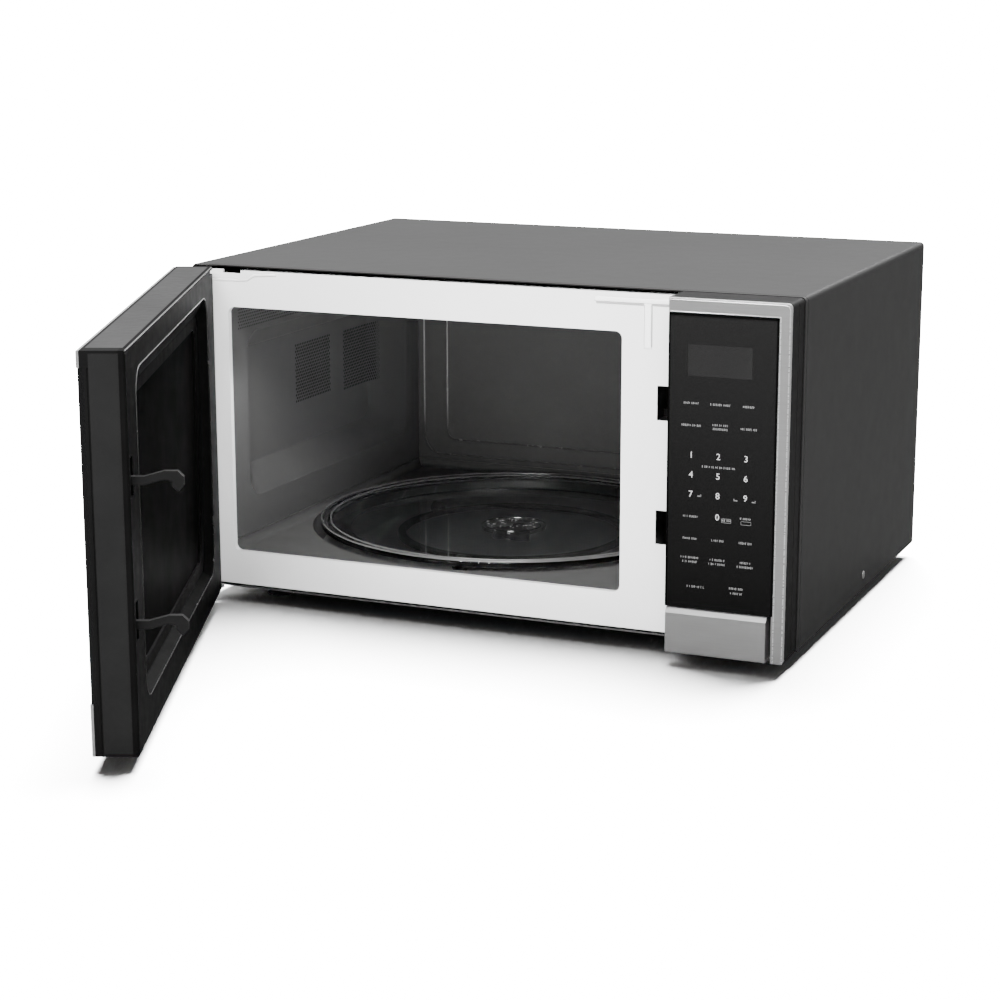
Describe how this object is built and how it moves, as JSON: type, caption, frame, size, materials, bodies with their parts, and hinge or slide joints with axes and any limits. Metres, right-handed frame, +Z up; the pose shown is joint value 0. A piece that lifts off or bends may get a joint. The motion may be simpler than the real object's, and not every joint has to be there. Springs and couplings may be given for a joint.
{
  "type": "microwave oven",
  "caption": "Countertop microwave oven with a side-hinged door, glass turntable, enamelled cavity, wide open button and touch panel.",
  "frame": {"origin": "on the counter, under the middle of the closed oven (the middle of its footprint with the door shut)", "axes": "+X to the right seen from the front, +Y to the back, +Z up"},
  "size_m": [0.5591, 0.8326, 0.301],
  "materials": {
    "cover_paint": "dark grey textured powder coat",
    "plate_paint": "white gloss enamel",
    "cavity_enamel": "grey enamel, semi-gloss",
    "zinc_steel": "galvanised",
    "dark_steel": "black paint",
    "trim_silver": "fine brushed",
    "button_silver": "silver paint, satin",
    "black_plastic": "fine texture",
    "black_glass": "polished",
    "clear_glass": "polished",
    "film": "clear sheet",
    "display_glass": "smoked",
    "panel_gloss": "polished",
    "grey_plastic": "natural",
    "white_plastic": "natural",
    "board_green": "soldered board",
    "lacquered_core": "varnished laminations",
    "copper_coil": "enamelled wire",
    "aluminium_can": "bright",
    "mica": "mica sheet",
    "rubber": "matt",
    "screw_steel": "plated"
  },
  "bodies": {
    "cabinet": {"outer_cover": "cover_paint", "base_plate": "zinc_steel", "rear_panel": "zinc_steel", "front_plate": "plate_paint", "upper_hinge_bracket": "plate_paint", "lower_hinge_bracket": "plate_paint", "cavity_floor": "cavity_enamel", "cavity_left_wall": "cavity_enamel", "cavity_right_wall": "cavity_enamel", "cavity_back_wall": "cavity_enamel", "cavity_roof": "cavity_enamel", "turntable_motor": "zinc_steel", "control_bezel": "black_plastic", "control_trim": "trim_silver", "control_overlay": "panel_gloss", "display_lens": "display_glass", "display_module": "black_plastic", "control_board": "board_green", "latch_board": "black_plastic", "primary_switch": "black_plastic", "secondary_switch": "black_plastic", "waveguide": "zinc_steel", "waveguide_cover": "mica", "magnetron_yoke": "zinc_steel", "magnetron_anode": "aluminium_can", "transformer_core": "lacquered_core", "transformer_coils": "copper_coil", "capacitor": "aluminium_can", "fan_shroud": "white_plastic", "fan_motor": "zinc_steel", "air_duct": "white_plastic", "noise_filter_board": "board_green", "cavity_lamp": "white_plastic", "cord_gland": "black_plastic", "foot_front_left": "rubber", "foot_rear_left": "rubber", "foot_front_right": "rubber", "foot_rear_right": "rubber", "cover_screws": "screw_steel"},
    "door": {"door_frame": "black_plastic", "door_outer_glass": "black_glass", "door_trim": "trim_silver", "door_choke_panel": "dark_steel", "door_screen": "dark_steel", "door_choke_cover": "black_plastic", "door_inner_window": "film", "latch_spring": "screw_steel"},
    "latch": {"latch_hooks": "grey_plastic"},
    "turntable": {"glass_tray": "clear_glass", "turntable_coupler": "white_plastic"},
    "roller_carrier": {"roller_ring": "grey_plastic"},
    "wheel_1": {"roller_wheel_1": "grey_plastic"},
    "wheel_2": {"roller_wheel_2": "grey_plastic"},
    "wheel_3": {"roller_wheel_3": "grey_plastic"},
    "button": {"open_button": "button_silver"},
    "lever": {"release_lever": "white_plastic"},
    "plunger_high": {"primary_plunger": "white_plastic"},
    "plunger_low": {"secondary_plunger": "white_plastic"},
    "fan": {"fan_blade": "black_plastic"}
  },
  "joints": [
    {"name": "door_hinge", "type": "hinge", "parent": "cabinet", "child": "door", "pos_m": [-0.2677, -0.2038, 0.153], "axis": [0, 0, -1], "range_deg": [-67.47, 37.5]},
    {"name": "latch_lift", "type": "slide", "parent": "door", "child": "latch", "axis": [0, 0, 1], "range_m": [0, 0.005], "stiffness_N_per_m": 400, "springref_m": -0.004, "deforming": ["latch_spring"]},
    {"name": "turntable_spin", "type": "hinge", "parent": "cabinet", "child": "turntable", "pos_m": [-0.056, 0.0176, 0.033], "axis": [0, 0, 1], "continuous": true},
    {"name": "roller_carrier_spin", "type": "hinge", "parent": "cabinet", "child": "roller_carrier", "pos_m": [-0.056, 0.0176, 0.0328], "axis": [0, 0, 1], "continuous": true},
    {"name": "wheel_1_spin", "type": "hinge", "parent": "roller_carrier", "child": "wheel_1", "pos_m": [0.05052, 0.0791, 0.0328], "axis": [0.866, 0.5, 0], "continuous": true},
    {"name": "wheel_2_spin", "type": "hinge", "parent": "roller_carrier", "child": "wheel_2", "pos_m": [-0.16252, 0.0791, 0.0328], "axis": [-0.866, 0.5, 0], "continuous": true},
    {"name": "wheel_3_spin", "type": "hinge", "parent": "roller_carrier", "child": "wheel_3", "pos_m": [-0.056, -0.1054, 0.0328], "axis": [0, -1, 0], "continuous": true},
    {"name": "button_press", "type": "slide", "parent": "cabinet", "child": "button", "axis": [0, 1, 0], "range_m": [0, 0.005], "stiffness_N_per_m": 600, "springref_m": -0.003},
    {"name": "lever_tilt", "type": "hinge", "parent": "cabinet", "child": "lever", "pos_m": [0.184, -0.1694, 0.073], "axis": [1, 0, 0], "range_deg": [0, 8]},
    {"name": "primary_plunger_press", "type": "slide", "parent": "cabinet", "child": "plunger_high", "axis": [0, 1, 0], "range_m": [0, 0.0015], "stiffness_N_per_m": 500, "springref_m": -0.001},
    {"name": "secondary_plunger_press", "type": "slide", "parent": "cabinet", "child": "plunger_low", "axis": [0, 1, 0], "range_m": [0, 0.0015], "stiffness_N_per_m": 500, "springref_m": -0.001},
    {"name": "fan_spin", "type": "hinge", "parent": "cabinet", "child": "fan", "pos_m": [0.21, 0.1986, 0.177], "axis": [0, 1, 0], "continuous": true}
  ],
  "couplings": [
    {"joint": "roller_carrier_spin", "follows": "turntable_spin", "ratio": 0.5},
    {"joint": "wheel_1_spin", "follows": "turntable_spin", "ratio": -9.4615},
    {"joint": "wheel_2_spin", "follows": "turntable_spin", "ratio": -9.4615},
    {"joint": "wheel_3_spin", "follows": "turntable_spin", "ratio": -9.4615},
    {"joint": "lever_tilt", "follows": "button_press", "rad_per_m": 26}
  ]
}
